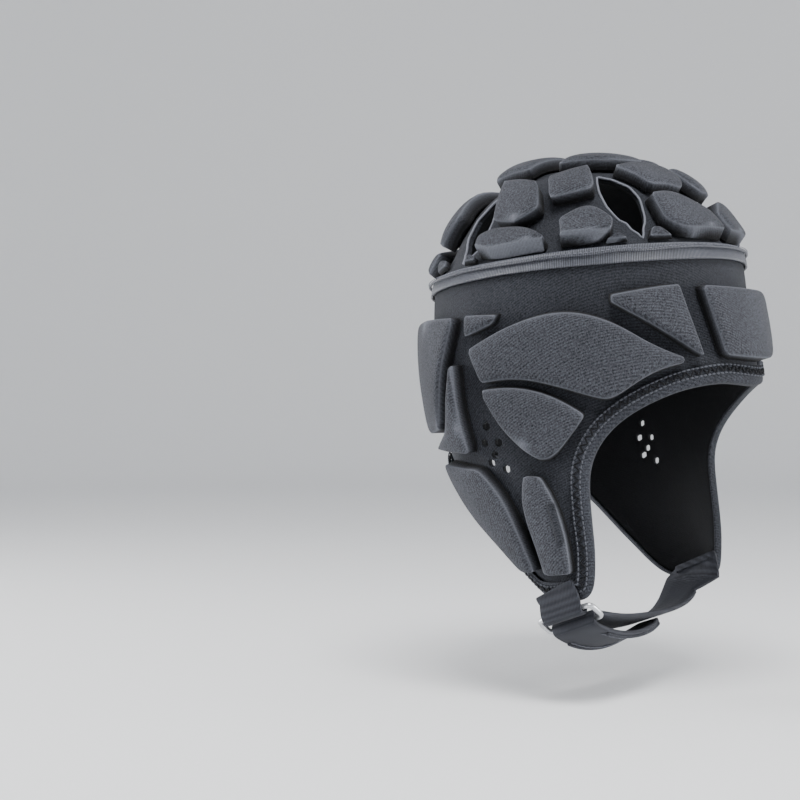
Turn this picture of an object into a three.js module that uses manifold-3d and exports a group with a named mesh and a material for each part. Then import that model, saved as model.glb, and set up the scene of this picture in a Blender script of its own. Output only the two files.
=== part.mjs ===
// A padded rugby scrum cap, worn form. Millimetres, +Z up, the face looks along -Y,
// the wearer's left is +X. The origin is the inside of the crown's top, where the head bears.
import * as THREE from "three";
import { mergeVertices } from "three/addons/utils/BufferGeometryUtils.js";
import Module from "manifold-3d";

// Sizes of the fabric cap
const headWidth = 172;
const headLength = 164;
const crownHeight = 54.5;
const bandHeight = 163.5;
const shellWall = 3;
const clearance = 0.5;
const padClearance = 0.85;

// Sizes of the pads
const crownPad = 9;
const topPad = 7.5;
const cornerPad = 4.5;
const bandPad = 8;
const padDraft = 1;
const padRound = 1.8;
const padCrowning = 0.5;

// Sizes of the openings
const earHole = 4;
const earHoleSides = 6;

// Sizes of the tape, the binding and the strap
const tapeWidth = 8;
const tapeThick = 1.2;
const bindingWidth = 7.5;
const bindingThick = 1.2;
const strapWidth = 24;
const strapThick = 2.6;
const tabWidth = 22;
const tabThick = 2;
const ringWire = 3;
const ringPitch = 10.6;
const ringGrip = 1.5;
const ringCorner = 2.4;

// Sections of the cap from the top down. Columns: depth as a share of the crown's height, or of the
// band's below the seam; slope of the level; half width as a share of half the head's width; place of
// the widest point, front and rear, as shares of half the head's length; roundness exponents.
const crownRows = [
  [0.02, 0, 0.235, 0, -0.24, 0.21, 2.2, 2.2],
  [0.09, -0.01, 0.42, 0, -0.45, 0.37, 2.35, 2.3],
  [0.22, -0.03, 0.55, 0, -0.585, 0.5, 2.45, 2.4],
  [0.367, -0.05, 0.65, 0, -0.685, 0.62, 2.45, 2.4],
  [0.569, -0.07, 0.735, 0.01, -0.775, 0.735, 2.4, 2.3],
  [0.716, -0.09, 0.785, 0.035, -0.835, 0.775, 2.3, 2.2],
  [0.881, -0.11, 0.86, 0.07, -0.915, 0.835, 2.2, 2.2],
  [1, -0.12, 0.955, 0.09, -0.985, 0.88, 2, 2.1],
];
const bandRows = [
  [0.125, -0.05, 1, 0.14, -1.06, 0.87, 1.75, 2],
  [0.266, 0, 0.994, 0.17, -1.13, 0.845, 1.65, 2],
  [0.407, 0, 0.977, 0.16, -1.17, 0.8, 1.65, 2],
  [0.535, 0, 0.953, 0.09, -1.13, 0.765, 1.7, 2],
  [0.664, 0, 0.924, -0.09, -1.02, 0.69, 1.9, 2],
  [0.816, 0, 0.884, -0.32, -0.87, 0.5, 2, 2],
  [1, 0, 0.826, -0.49, -0.72, 0.09, 2, 2],
  [1.126, 0, 0.779, -0.58, -0.69, 0, 2, 2],
];

// The free edge of the band. Columns: degrees from the front, depth as a share of the band's height.
const hemLine = [
  [0, 0.334], [10, 0.33], [20, 0.326], [34, 0.353], [45, 0.406], [52, 0.464], [58, 0.546],
  [62, 0.623], [65, 0.715], [68.5, 0.82], [72, 0.895], [77, 0.936], [86, 0.954], [98, 0.962],
  [108, 0.966], [116, 0.955], [120.5, 0.92], [123, 0.866], [126, 0.802], [130, 0.72], [137, 0.652],
  [148, 0.599], [162, 0.575], [180, 0.57],
];

// Crown pads and vents of the wearer's right half, seen from above. Each row crosses the pad, from the
// edge near the crown's top to the edge near the seam: across and forward, then across and forward
// again, as shares of the way from the crown's top to the seam.
const crownPads = {
  front_low: [crownPad, [[-0.3, 0.48, -0.395, 0.67], [-0.2, 0.51, -0.36, 0.83],
    [-0.11, 0.58, -0.2, 0.88], [-0.035, 0.68, -0.035, 0.905]]],
  front_high: [topPad, [[-0.235, 0.235, -0.24, 0.44], [-0.13, 0.245, -0.14, 0.465],
    [-0.07, 0.27, -0.07, 0.51], [-0.025, 0.31, -0.025, 0.455]]],
  front_corner: [cornerPad, [[-0.46, 0.66, -0.43, 0.68], [-0.55, 0.725, -0.425, 0.805]]],
  side_front_low: [crownPad, [[-0.68, 0.222, -0.85, 0.345], [-0.6, 0.243, -0.82, 0.43],
    [-0.525, 0.29, -0.77, 0.505], [-0.55, 0.385, -0.715, 0.525], [-0.6, 0.485, -0.66, 0.52]]],
  side_rear_low: [crownPad, [[-0.755, -0.15, -0.86, -0.125], [-0.715, -0.08, -0.925, -0.03],
    [-0.735, 0.02, -0.925, 0.09], [-0.755, 0.115, -0.905, 0.2], [-0.825, 0.23, -0.885, 0.265]]],
  side_front_high: [crownPad, [[-0.435, 0.062, -0.545, 0.11], [-0.345, 0.08, -0.575, 0.18],
    [-0.28, 0.115, -0.545, 0.235], [-0.315, 0.17, -0.445, 0.265]]],
  side_rear_high: [crownPad, [[-0.41, -0.1, -0.645, -0.085], [-0.405, -0.055, -0.69, -0.015],
    [-0.42, -0.01, -0.695, 0.055], [-0.455, 0.028, -0.6, 0.085]]],
  side_front_corner: [cornerPad, [[-0.655, 0.56, -0.635, 0.585], [-0.735, 0.56, -0.66, 0.65]]],
  side_rear_corner: [cornerPad, [[-0.84, -0.2, -0.855, -0.165], [-0.885, -0.245, -0.91, -0.15]]],
  rear_low: [crownPad, [[-0.03, -0.66, -0.03, -0.9], [-0.25, -0.67, -0.27, -0.875],
    [-0.47, -0.62, -0.5, -0.77]]],
  rear_high: [crownPad, [[-0.03, -0.38, -0.03, -0.59], [-0.2, -0.38, -0.22, -0.6],
    [-0.45, -0.36, -0.49, -0.55]]],
  rear_corner: [cornerPad, [[-0.63, -0.53, -0.595, -0.565], [-0.73, -0.485, -0.6, -0.66]]],
  top_front: [topPad, [[-0.03, 0.035, -0.03, 0.235], [-0.14, 0.03, -0.13, 0.215],
    [-0.28, 0.04, -0.205, 0.15]]],
  top_rear: [topPad, [[-0.03, -0.035, -0.03, -0.31], [-0.16, -0.03, -0.16, -0.3],
    [-0.31, -0.04, -0.29, -0.2]]],
};
const vents = {
  front: [[-0.262, 0.18], [-0.465, 0.345], [-0.545, 0.67], [-0.295, 0.437]],
  rear: [[-0.38, -0.17], [-0.68, -0.19], [-0.82, -0.3], [-0.56, -0.35]],
};

// Band pads of the wearer's right half. Each row crosses the pad from one long edge to the other:
// degrees from the front and depth, then degrees and depth again, depths as shares of the band's height.
const bandPads = {
  temple: [[50, 0.105, 50, 0.121], [44, 0.097, 43, 0.159], [37, 0.092, 34.5, 0.213], [31, 0.088, 26.5, 0.268]],
  crescent: [[89, 0.241, 84, 0.338], [77, 0.179, 74, 0.322], [66, 0.145, 65, 0.343],
    [57, 0.148, 56.5, 0.374], [48, 0.183, 51, 0.388], [40, 0.236, 42, 0.311], [32.5, 0.268, 32.5, 0.282]],
  ear_top: [[92, 0.142, 91, 0.196], [86.5, 0.142, 88, 0.215], [80, 0.142, 80.5, 0.161]],
  fan: [[84, 0.358, 83.3, 0.386], [77, 0.35, 80.5, 0.462], [70, 0.357, 76, 0.531],
    [63.5, 0.386, 71, 0.588], [58, 0.432, 61, 0.48]],
  back: [[98, 0.145, 113, 0.468], [114, 0.142, 122, 0.48], [132, 0.142, 138, 0.483],
    [152, 0.145, 155, 0.483], [172, 0.148, 172, 0.48]],
  ear_rear: [[97, 0.287, 98.5, 0.287], [97, 0.382, 103.5, 0.387], [96.5, 0.468, 108, 0.478],
    [97, 0.54, 123, 0.527]],
  jaw_rear: [[97, 0.588, 121, 0.57], [94.5, 0.662, 121, 0.662], [97, 0.729, 119, 0.739],
    [100, 0.797, 115, 0.797], [103, 0.879, 111, 0.879]],
  cheek: [[75.5, 0.615, 80, 0.613], [74, 0.657, 87, 0.664], [77, 0.749, 91, 0.749],
    [80.5, 0.83, 96, 0.83], [84.5, 0.886, 98, 0.886]],
};
const foreheadPad = [[-23.5, 0.092, -19.5, 0.262], [-12, 0.098, -10, 0.268], [0, 0.101, 0, 0.27],
  [12, 0.098, 10, 0.268], [23.5, 0.092, 19.5, 0.262]];
const earHoles = [[87, 0.466], [91, 0.517], [84, 0.514], [88, 0.551], [93, 0.577], [87, 0.594]];

// The strap's hand-chosen route under the chin from inside the left flap to the ring on the right one,
// along the middle of its width: left, back and down from the level at which the flaps end.
const flapLevel = shellWall - crownHeight - bandHeight;
const strapRoute = [
  [57, -27, -1], [52, -27.5, 4.5], [44, -28, 8.5], [32, -29, 10.5], [16, -30, 11.5], [0, -30.5, 11.5],
  [-16, -30.5, 11], [-32, -30.5, 10], [-46, -30.5, 8],
];
const ringPlaceFromFlap = [-67.5, -29.5, 4.5];
const ringLean = 20;
const ringPitchDown = 40;
const tailLength = 78;
const tailFall = [20, -14];
const strapFlapDepth = 0.92;
const strapStandOff = 7.2;
const strapFlapAround = 93;
const tabFlapDepth = 0.925;
const tabStandOff = 2;
const tabReturn = 4;
const tabFlapAround = 99;
const strapFold = [270, 90];
const tabFold = [140, -40];
const flapEnd = 0.96;

const fabric = new THREE.MeshStandardMaterial({ color: 0x3b3e46, roughness: 0.9, metalness: 0 });
const padFabric = new THREE.MeshStandardMaterial({ color: 0x464952, roughness: 0.85, metalness: 0 });
const tapeFabric = new THREE.MeshStandardMaterial({ color: 0x5a5e68, roughness: 0.6, metalness: 0 });
const webbing = new THREE.MeshStandardMaterial({ color: 0x33363d, roughness: 0.8, metalness: 0 });
const greyMetal = new THREE.MeshStandardMaterial({ color: 0x8d9096, roughness: 0.35, metalness: 0.9 });

const wasm = await Module();
wasm.setup();

const radians = THREE.MathUtils.degToRad;
const mix = THREE.MathUtils.lerp;
const seamRow = crownRows.length;
const flapRow = seamRow + bandRows.length;

// Sizes at one row of the cap, counted from 0 at the crown's top.
function rowSizes(index) {
  const inCrown = index <= seamRow;
  const [depth, slope, half, middle, front, rear, roundFront, roundRear] =
    inCrown ? crownRows[Math.max(index, 1) - 1] : bandRows[Math.min(index, flapRow) - seamRow - 1];
  const height = inCrown ? shellWall - crownHeight * depth : shellWall - crownHeight - bandHeight * depth;
  const halfLength = headLength / 2;
  return [height, slope, (half * headWidth) / 2, middle * halfLength, front * halfLength,
    rear * halfLength, roundFront, roundRear];
}

// A value between rows, on a smooth curve through them.
function between(before, start, end, after, t) {
  const leave = (end - before) / 2;
  const arrive = (after - start) / 2;
  const square = t * t;
  const cube = square * t;
  return (2 * cube - 3 * square + 1) * start + (cube - 2 * square + t) * leave
    + (3 * square - 2 * cube) * end + (cube - square) * arrive;
}

function section(row) {
  if (row < 1) {
    const [height, slope, ...reach] = rowSizes(1);
    return [mix(shellWall, height, row * row), slope * row,
      ...reach.map((size, column) => (column < 4 ? size * row : size))];
  }
  const index = Math.min(Math.floor(row), flapRow - 1);
  const rows = [Math.max(index - 1, 1), index, index + 1, Math.min(index + 2, flapRow)].map(rowSizes);
  return rows[1].map((size, column) =>
    between(rows[0][column], size, rows[2][column], rows[3][column], row - index));
}

// A point of the cap's outer face: row from the top, angle from the front towards the left.
function facePoint(row, angle) {
  const [height, slope, half, middle, front, rear, roundFront, roundRear] = section(row);
  const sine = Math.sin(angle);
  const cosine = Math.cos(angle);
  const power = 2 / (cosine > 0 ? roundFront : roundRear);
  const x = half * Math.sign(sine) * Math.abs(sine) ** power;
  const y = middle + ((cosine > 0 ? front : rear) - middle) * Math.abs(cosine) ** power;
  return new THREE.Vector3(x, y, height + slope * y);
}

const rowStep = 0.3;
const angleStep = radians(1.5);

function faceNormal(row, angle) {
  const down = facePoint(row + rowStep, angle).sub(facePoint(Math.max(row - rowStep, apexRow), angle));
  const left = facePoint(row, angle + angleStep).sub(facePoint(row, angle - angleStep));
  return left.cross(down).normalize().negate();
}

// A point off the cap's outer face, outwards for a positive offset.
function surface(row, angle, offset = 0) {
  return facePoint(row, angle).addScaledVector(faceNormal(row, angle), offset);
}

// Charts of the surface: the crown seen from above, and the band by degrees and depth.
function crownChart(across, forward) {
  return [Math.hypot(across, forward) * seamRow, Math.atan2(across, forward)];
}

function bandRow(depth) {
  const depths = [0, ...bandRows.map((row) => row[0])];
  let index = 0;
  while (index < depths.length - 2 && depth > depths[index + 1]) index += 1;
  return seamRow + index + (depth - depths[index]) / (depths[index + 1] - depths[index]);
}

function bandChart(degrees, depth) {
  return [bandRow(depth), radians(degrees)];
}

// Closed bodies
function body(points, faces) {
  const geometry = new THREE.BufferGeometry();
  geometry.setAttribute("position", new THREE.Float32BufferAttribute(points.flatMap((p) => p.toArray()), 3));
  geometry.setIndex(faces.flat());
  let volume = 0;
  for (const [a, b, c] of faces) volume += points[a].dot(points[b].clone().cross(points[c])) / 6;
  if (volume < 0) geometry.setIndex(faces.flatMap(([a, b, c]) => [a, c, b]));
  return geometry;
}

function quad(a, b, c, d) {
  return [[a, b, c], [a, c, d]];
}

// Joins equal rings of points. An open row of rings is capped, a looped one meets itself.
function loft(rings, looped) {
  const count = rings[0].length;
  const points = rings.flat();
  const faces = [];
  const spans = looped ? rings.length : rings.length - 1;
  for (let i = 0; i < spans; i += 1) {
    for (let j = 0; j < count; j += 1) {
      const next = (i + 1) % rings.length;
      const beside = (j + 1) % count;
      faces.push(...quad(i * count + j, i * count + beside, next * count + beside, next * count + j));
    }
  }
  if (!looped) {
    const last = (rings.length - 1) * count;
    for (let j = 1; j < count - 1; j += 1) {
      faces.push([0, j + 1, j], [last, last + j, last + j + 1]);
    }
  }
  return body(points, faces);
}

function toManifold(geometry) {
  const bare = mergeVertices(geometry, 1e-4);
  return new wasm.Manifold(new wasm.Mesh({
    numProp: 3,
    vertProperties: new Float32Array(bare.attributes.position.array),
    triVerts: new Uint32Array(bare.index.array),
  }));
}

function cut(geometry, cutters) {
  let rest = toManifold(geometry);
  for (const cutter of cutters) rest = rest.subtract(toManifold(cutter));
  const mesh = rest.getMesh();
  const result = new THREE.BufferGeometry();
  result.setAttribute("position", new THREE.BufferAttribute(mesh.vertProperties, 3));
  result.setIndex(new THREE.BufferAttribute(mesh.triVerts, 1));
  return result;
}

// The crown and band
const seamGap = 0.02;
const crownColumns = 32;
const crownRings = [0.7, 1.4, 2.1, 2.8, 3.6, 4.5, 5.4, 6.3, 7.2, seamRow - seamGap];
const bandSpan = 6;
const inner = -shellWall;
const cutReach = 4;
const apexRow = 0.001;

function crownShell() {
  const points = [surface(apexRow, 0, 0), surface(apexRow, 0, inner)];
  const faces = [];
  const layers = [0, inner];
  const at = (layer, ring, column) =>
    2 + (layer * crownRings.length + ring) * crownColumns + (column % crownColumns);
  for (const offset of layers) {
    for (const row of crownRings) {
      for (let i = 0; i < crownColumns; i += 1) {
        points.push(surface(row, (2 * Math.PI * i) / crownColumns, offset));
      }
    }
  }
  const rim = crownRings.length - 1;
  for (let i = 0; i < crownColumns; i += 1) {
    faces.push([0, at(0, 0, i), at(0, 0, i + 1)], [1, at(1, 0, i + 1), at(1, 0, i)]);
    for (let ring = 0; ring < rim; ring += 1) {
      faces.push(...quad(at(0, ring, i), at(0, ring + 1, i), at(0, ring + 1, i + 1), at(0, ring, i + 1)));
      faces.push(...quad(at(1, ring, i + 1), at(1, ring + 1, i + 1), at(1, ring + 1, i), at(1, ring, i)));
    }
    faces.push(...quad(at(0, rim, i), at(1, rim, i), at(1, rim, i + 1), at(0, rim, i + 1)));
  }
  const cutters = [];
  for (const side of [1, -1]) {
    for (const outline of Object.values(vents)) cutters.push(ventCutter(outline, side));
  }
  return cut(body(points, faces), cutters);
}

// An eye-shaped vent: its four corners joined by bowed edges.
const ventBow = 0.03;
const ventSteps = 3;

function ventOutline(corners) {
  const middle = corners.reduce((sum, [x, y]) => [sum[0] + x / 4, sum[1] + y / 4], [0, 0]);
  return corners.flatMap(([x, y], i) => {
    const [nextX, nextY] = corners[(i + 1) % corners.length];
    return Array.from({ length: ventSteps }, (_, step) => {
      const t = step / ventSteps;
      const px = mix(x, nextX, t);
      const py = mix(y, nextY, t);
      const bow = (4 * t * (1 - t) * ventBow) / Math.hypot(px - middle[0], py - middle[1]);
      return [px + (px - middle[0]) * bow, py + (py - middle[1]) * bow];
    });
  });
}

function ventCutter(corners, side) {
  const outline = ventOutline(corners);
  const ring = (offset) => outline.map(([x, y]) => surface(...crownChart(x * side, y), offset));
  return loft([ring(inner * cutReach), ring(shellWall * cutReach)], false);
}

function hemDepth(degrees) {
  const turned = Math.abs(degrees) > 180 ? 360 - Math.abs(degrees) : Math.abs(degrees);
  let index = 0;
  while (index < hemLine.length - 2 && turned > hemLine[index + 1][0]) index += 1;
  const line = [Math.max(index - 1, 0), index, index + 1, Math.min(index + 2, hemLine.length - 1)]
    .map((i) => hemLine[i]);
  const t = (turned - line[1][0]) / (line[2][0] - line[1][0]);
  return between(line[0][1], line[1][1], line[2][1], line[3][1], t);
}

// Degrees round the cap, closer together where the edge of a flap runs steeply.
function hemStops() {
  const half = [0, 9, 18, 26, 34, 42, 48, 53, 57, 60, 62.3, 64.3, 66.2, 68.2, 70.3, 73, 77, 83, 90, 98,
    106, 112, 116.5, 119.2, 121.2, 123, 125, 127.5, 131, 136, 143, 154, 168];
  return [...half, 180, ...half.slice(1).reverse().map((degrees) => 360 - degrees)];
}

function bandShell() {
  const rings = hemStops().map((degrees) => {
    const angle = radians(degrees);
    const low = bandRow(hemDepth(degrees));
    const rows = Array.from({ length: bandSpan + 1 }, (_, i) =>
      mix(seamRow + seamGap, low, i / bandSpan));
    return [...rows.map((row) => surface(row, angle)),
      ...rows.reverse().map((row) => surface(row, angle, inner))];
  });
  const cutters = [];
  for (const side of [1, -1]) {
    for (const [degrees, depth] of earHoles) cutters.push(holeCutter(degrees * side, depth));
  }
  return cut(loft(rings, true), cutters);
}

function holeCutter(degrees, depth) {
  const [row, angle] = bandChart(degrees, depth);
  const centre = surface(row, angle);
  const axis = faceNormal(row, angle);
  const length = shellWall * cutReach;
  const hole = new THREE.CylinderGeometry(earHole / 2, earHole / 2, length, earHoleSides);
  hole.deleteAttribute("normal").deleteAttribute("uv");
  const turn = new THREE.Quaternion().setFromUnitVectors(new THREE.Vector3(0, 1, 0), axis);
  hole.applyQuaternion(turn);
  hole.translate(centre.x, centre.y, centre.z);
  return hole;
}

// The tape over the seam
const tapeColumns = 52;

function seamTape() {
  const rings = Array.from({ length: tapeColumns }, (_, i) => {
    const angle = (2 * Math.PI * i) / tapeColumns;
    const rowLength = facePoint(seamRow - rowStep, angle).distanceTo(facePoint(seamRow + rowStep, angle));
    const half = (tapeWidth / rowLength) * rowStep;
    const across = [-half, 0, half];
    return [...across.map((shift) => surface(seamRow + shift, angle, clearance)),
      ...across.reverse().map((shift) => surface(seamRow + shift, angle, clearance + tapeThick))];
  });
  return loft(rings, true);
}

// The binding: a fold of tape over the free edge of the band, as distance in from the edge and height.
const bindingFold = [
  [bindingWidth, padClearance], [bindingWidth, padClearance + bindingThick],
  [0, padClearance + bindingThick], [-clearance - bindingThick, clearance],
  [-clearance - bindingThick, inner - clearance], [-clearance, inner - clearance], [-clearance, padClearance],
];

const hemStep = 0.4;

function hemFrame(degrees) {
  const at = (turn) => surface(bandRow(hemDepth(turn)), radians(turn));
  const [row, angle] = [bandRow(hemDepth(degrees)), radians(degrees)];
  const normal = faceNormal(row, angle);
  const along = at(degrees + hemStep).sub(at(degrees - hemStep)).normalize();
  return { row, angle, normal, inward: normal.clone().cross(along).normalize() };
}

// Moves a point over the face of the band by a length along a direction, and lifts it.
function slide(row, angle, direction, length, height) {
  const origin = facePoint(row, angle);
  const down = facePoint(row + rowStep, angle).sub(origin).divideScalar(rowStep);
  const left = facePoint(row, angle + angleStep).sub(origin).divideScalar(angleStep);
  const [dd, dl, ll] = [down.dot(down), down.dot(left), left.dot(left)];
  const [gd, gl] = [direction.dot(down), direction.dot(left)];
  const scale = length / (dd * ll - dl * dl);
  return surface(row + (gd * ll - gl * dl) * scale, angle + (gl * dd - gd * dl) * scale, height);
}

function hemBinding() {
  const rings = hemStops().map((degrees) => {
    const { row, angle, normal, inward } = hemFrame(degrees);
    return bindingFold.map(([width, height]) => {
      if (width > 0) return slide(row, angle, inward, width, height);
      return facePoint(row, angle).addScaledVector(inward, width).addScaledVector(normal, height);
    });
  });
  return loft(rings, true);
}

// Pads
function along(table, share) {
  const place = share * (table.length - 1);
  const index = Math.max(0, Math.min(Math.floor(place), table.length - 2));
  const rows = [Math.max(index - 1, 0), index, index + 1, Math.min(index + 2, table.length - 1)]
    .map((i) => table[i]);
  return rows[1].map((start, column) =>
    between(rows[0][column], start, rows[2][column], rows[3][column], place - index));
}

const crownStep = 6;
const bandStep = 9;
const wideSteps = 2.8;
const lengthParts = 8;
const widthShares = [0.3, 0.5, 0.7];
const wideCrossings = [0.33, 0.5, 0.67];
const mostEnd = 0.3;
const mostEdge = 0.35;
const leastEdge = -0.6;
const cornerBack = 0.4;
const cornerAcross = 0.12;

// A pad on its shell. Each corner's patch is split towards the pad's middle.
function pad(table, chart, side, height, step) {
  const spot = (share, cross, offset) => {
    const [x1, y1, x2, y2] = along(table, share);
    return surface(...chart(mix(x1, x2, cross) * side, mix(y1, y2, cross)), offset);
  };
  const length = Array.from({ length: lengthParts }, (_, i) =>
    spot(i / lengthParts, 0.5).distanceTo(spot((i + 1) / lengthParts, 0.5))).reduce((sum, part) => sum + part, 0);
  const wide = Math.max(...widthShares.map((share) => spot(share, 0).distanceTo(spot(share, 1))))
    > wideSteps * step;
  const middleCrossings = wide ? wideCrossings : [0.5];
  const columns = middleCrossings.length + 4;
  const steps = Math.max(3, Math.round(length / step));
  const spread = (inset) => {
    const end = inset / length;
    const nextEnd = Math.min((inset + padRound) / length, mostEnd);
    const middle = Array.from({ length: steps - 1 }, (_, i) => mix(nextEnd, 1 - nextEnd, i / (steps - 2)));
    return [end, ...middle, 1 - end];
  };
  const crossings = (share, inset) => {
    const width = spot(share, 0).distanceTo(spot(share, 1));
    const edge = Math.max(inset / width, leastEdge);
    const nextEdge = Math.min((inset + padRound) / width, mostEdge);
    return [edge, nextEdge, ...middleCrossings, 1 - nextEdge, 1 - edge];
  };
  const points = [];
  const faces = [];
  const rowsOf = (inset, heightAt) => spread(inset).forEach((share, i, shares) => {
    const ends = i === 0 || i === shares.length - 1;
    crossings(share, inset).forEach((cross, j) => {
      const edges = j === 0 || j === columns - 1;
      const corner = ends && edges;
      const shareIn = corner ? mix(share, shares[i === 0 ? 1 : i - 1], cornerBack) : share;
      const crossIn = corner ? mix(cross, 0.5, cornerAcross) : cross;
      points.push(spot(shareIn, crossIn, heightAt(ends || edges, j > 1 && j < columns - 2 && !ends)));
    });
  });
  rowsOf(-padDraft, () => padClearance);
  rowsOf(0, (rim, middle) =>
    padClearance + height - (rim ? padRound : 0) + (middle ? padCrowning : 0));
  const top = (steps + 1) * columns;
  for (let i = 0; i < steps; i += 1) {
    for (let j = 0; j < columns - 1; j += 1) {
      const a = i * columns + j;
      const patch = [a, a + 1, a + columns + 1, a + columns];
      if ((i < steps / 2) !== (j < (columns - 1) / 2)) patch.push(patch.shift());
      faces.push(...quad(...patch), ...quad(...patch.map((corner) => top + corner).reverse()));
    }
  }
  const rim = [];
  for (let j = 0; j < columns; j += 1) rim.push(j);
  for (let i = 1; i <= steps; i += 1) rim.push(i * columns + columns - 1);
  for (let j = columns - 2; j >= 0; j -= 1) rim.push(steps * columns + j);
  for (let i = steps - 1; i > 0; i -= 1) rim.push(i * columns);
  rim.forEach((a, i) => {
    const b = rim[(i + 1) % rim.length];
    faces.push(...quad(a, a + top, b + top, b));
  });
  return body(points, faces);
}

// The ring and what runs through it
function belowFlaps([left, back, down]) {
  return new THREE.Vector3(left, back, flapLevel - down);
}

const ringWide = strapWidth + 2 * ringGrip;
const lean = radians(ringLean);
const pitchDown = radians(ringPitchDown);
const ringMiddle = belowFlaps(ringPlaceFromFlap);
const ringAcross = new THREE.Vector3(0, Math.cos(lean), -Math.sin(lean));
const ringTravel = new THREE.Vector3(Math.cos(pitchDown), 0, -Math.sin(pitchDown));
ringTravel.addScaledVector(ringAcross, -ringTravel.dot(ringAcross)).normalize();
const ringOut = ringTravel.clone().cross(ringAcross).normalize();
if (ringOut.x > 0) ringOut.negate();

// A place at the ring: along the strap's way, and outwards from the wearer.
function ringPlace(travel, out) {
  return ringMiddle.clone().addScaledVector(ringTravel, travel).addScaledVector(ringOut, out);
}

const cornerSteps = 3;
const wireSides = 8;

function buckleRing() {
  const halfWide = ringWide / 2 + ringWire / 2;
  const halfPitch = ringPitch / 2;
  const path = [];
  for (let quarter = 0; quarter < 4; quarter += 1) {
    const signX = quarter === 0 || quarter === 3 ? 1 : -1;
    const signY = quarter < 2 ? 1 : -1;
    for (let step = 0; step <= cornerSteps; step += 1) {
      const angle = (quarter + step / cornerSteps) * (Math.PI / 2);
      path.push([signX * (halfWide - ringCorner) + ringCorner * Math.cos(angle),
        signY * (halfPitch - ringCorner) + ringCorner * Math.sin(angle), angle]);
    }
  }
  const rings = path.map(([wide, travel, angle]) => {
    const centre = ringPlace(travel, 0).addScaledVector(ringAcross, wide);
    const away = ringAcross.clone().multiplyScalar(Math.cos(angle))
      .addScaledVector(ringTravel, Math.sin(angle));
    return Array.from({ length: wireSides }, (_, i) => {
      const turn = (2 * Math.PI * i) / wireSides;
      return centre.clone().addScaledVector(away, (Math.cos(turn) * ringWire) / 2)
        .addScaledVector(ringOut, (Math.sin(turn) * ringWire) / 2);
    });
  });
  return loft(rings, true);
}

// A flat band along stations, each a middle point, a direction across it and a share of its width.
function ribbon(stations, width, thick) {
  const rings = stations.map(({ middle, across, share = 1 }, i) => {
    const before = stations[Math.max(i - 1, 0)].middle;
    const after = stations[Math.min(i + 1, stations.length - 1)].middle;
    const way = after.clone().sub(middle).normalize().add(middle.clone().sub(before).normalize());
    way.normalize();
    const over = across.clone().addScaledVector(way, -across.dot(way)).normalize();
    const face = way.clone().cross(over).normalize();
    const place = (side, lift) => middle.clone().addScaledVector(over, (side * width * share) / 2)
      .addScaledVector(face, (lift * thick) / 2);
    return [place(-1, -1), place(1, -1), place(1, 1), place(-1, 1)];
  });
  return loft(rings, false);
}

// Half a turn round one bar of the ring, from one face of it to the other.
const foldSteps = 6;

function turnRound(travel, radius, [from, to]) {
  return Array.from({ length: foldSteps + 1 }, (_, i) => {
    const angle = radians(mix(from, to, i / foldSteps));
    return { middle: ringPlace(travel + radius * Math.cos(angle), radius * Math.sin(angle)),
      across: ringAcross };
  });
}

const strapTurn = ringWire / 2 + clearance + strapThick / 2;
const tabTurn = ringWire / 2 + clearance + tabThick / 2;
const tailTaper = [1, 1, 1, 1, 0.96, 0.82, 0.5];

function chinStrap() {
  const sewn = [strapFlapDepth, (strapFlapDepth + flapEnd) / 2, flapEnd].map((depth) => {
    const [row, angle] = bandChart(strapFlapAround, depth);
    const offset = inner - strapStandOff - strapThick / 2;
    const over = facePoint(row, angle + angleStep).sub(facePoint(row, angle - angleStep)).normalize();
    return { middle: surface(row, angle, offset), across: over.y < 0 ? over.negate() : over };
  });
  const under = strapRoute.map((place) => ({ middle: belowFlaps(place), across: ringAcross }));
  const bar = ringPitch / 2;
  const fold = turnRound(bar, strapTurn, strapFold);
  const spot = fold[fold.length - 1].middle.clone();
  const step = tailLength / tailTaper.length;
  const tailStations = tailTaper.map((share, i) => {
    const fall = radians(mix(tailFall[0], tailFall[1], i / (tailTaper.length - 1)));
    spot.add(new THREE.Vector3(Math.cos(fall) * step, 0, -Math.sin(fall) * step));
    return { middle: spot.clone(), across: ringAcross, share };
  });
  return ribbon([...sewn, ...under, ...fold, ...tailStations], strapWidth, strapThick);
}

function strapTab() {
  const bar = -ringPitch / 2;
  const outside = clearance * 2 + bindingThick + tabThick / 2;
  const sewn = [tabFlapDepth, (tabFlapDepth + flapEnd) / 2, flapEnd].map((depth) => {
    const [row, angle] = bandChart(-tabFlapAround, depth);
    return { middle: surface(row, angle, outside + tabStandOff), across: ringAcross };
  });
  const fold = turnRound(bar, tabTurn, tabFold);
  const end = fold[fold.length - 1].middle.clone().add(new THREE.Vector3(0, 0, tabReturn));
  return ribbon([...sewn, ...fold, { middle: end, across: ringAcross }], tabWidth, tabThick);
}

const cap = new THREE.Group();

function add(name, geometry, material) {
  const mesh = new THREE.Mesh(geometry, material);
  mesh.name = name;
  cap.add(mesh);
}

add("crown_shell", crownShell(), fabric);
add("band_shell", bandShell(), fabric);
add("seam_tape", seamTape(), tapeFabric);
add("hem_binding", hemBinding(), fabric);

const sides = { right: 1, left: -1 };
for (const [sideName, side] of Object.entries(sides)) {
  for (const [name, [height, table]] of Object.entries(crownPads)) {
    add(`crown_pad_${name}_${sideName}`, pad(table, crownChart, side, height, crownStep), padFabric);
  }
  for (const [name, table] of Object.entries(bandPads)) {
    add(`band_pad_${name}_${sideName}`, pad(table, bandChart, -side, bandPad, bandStep), padFabric);
  }
}
add("band_pad_forehead", pad(foreheadPad, bandChart, 1, bandPad, bandStep), padFabric);
add("strap_tab", strapTab(), webbing);
add("buckle_ring", buckleRing(), greyMetal);
add("chin_strap", chinStrap(), webbing);

export default cap;
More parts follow.
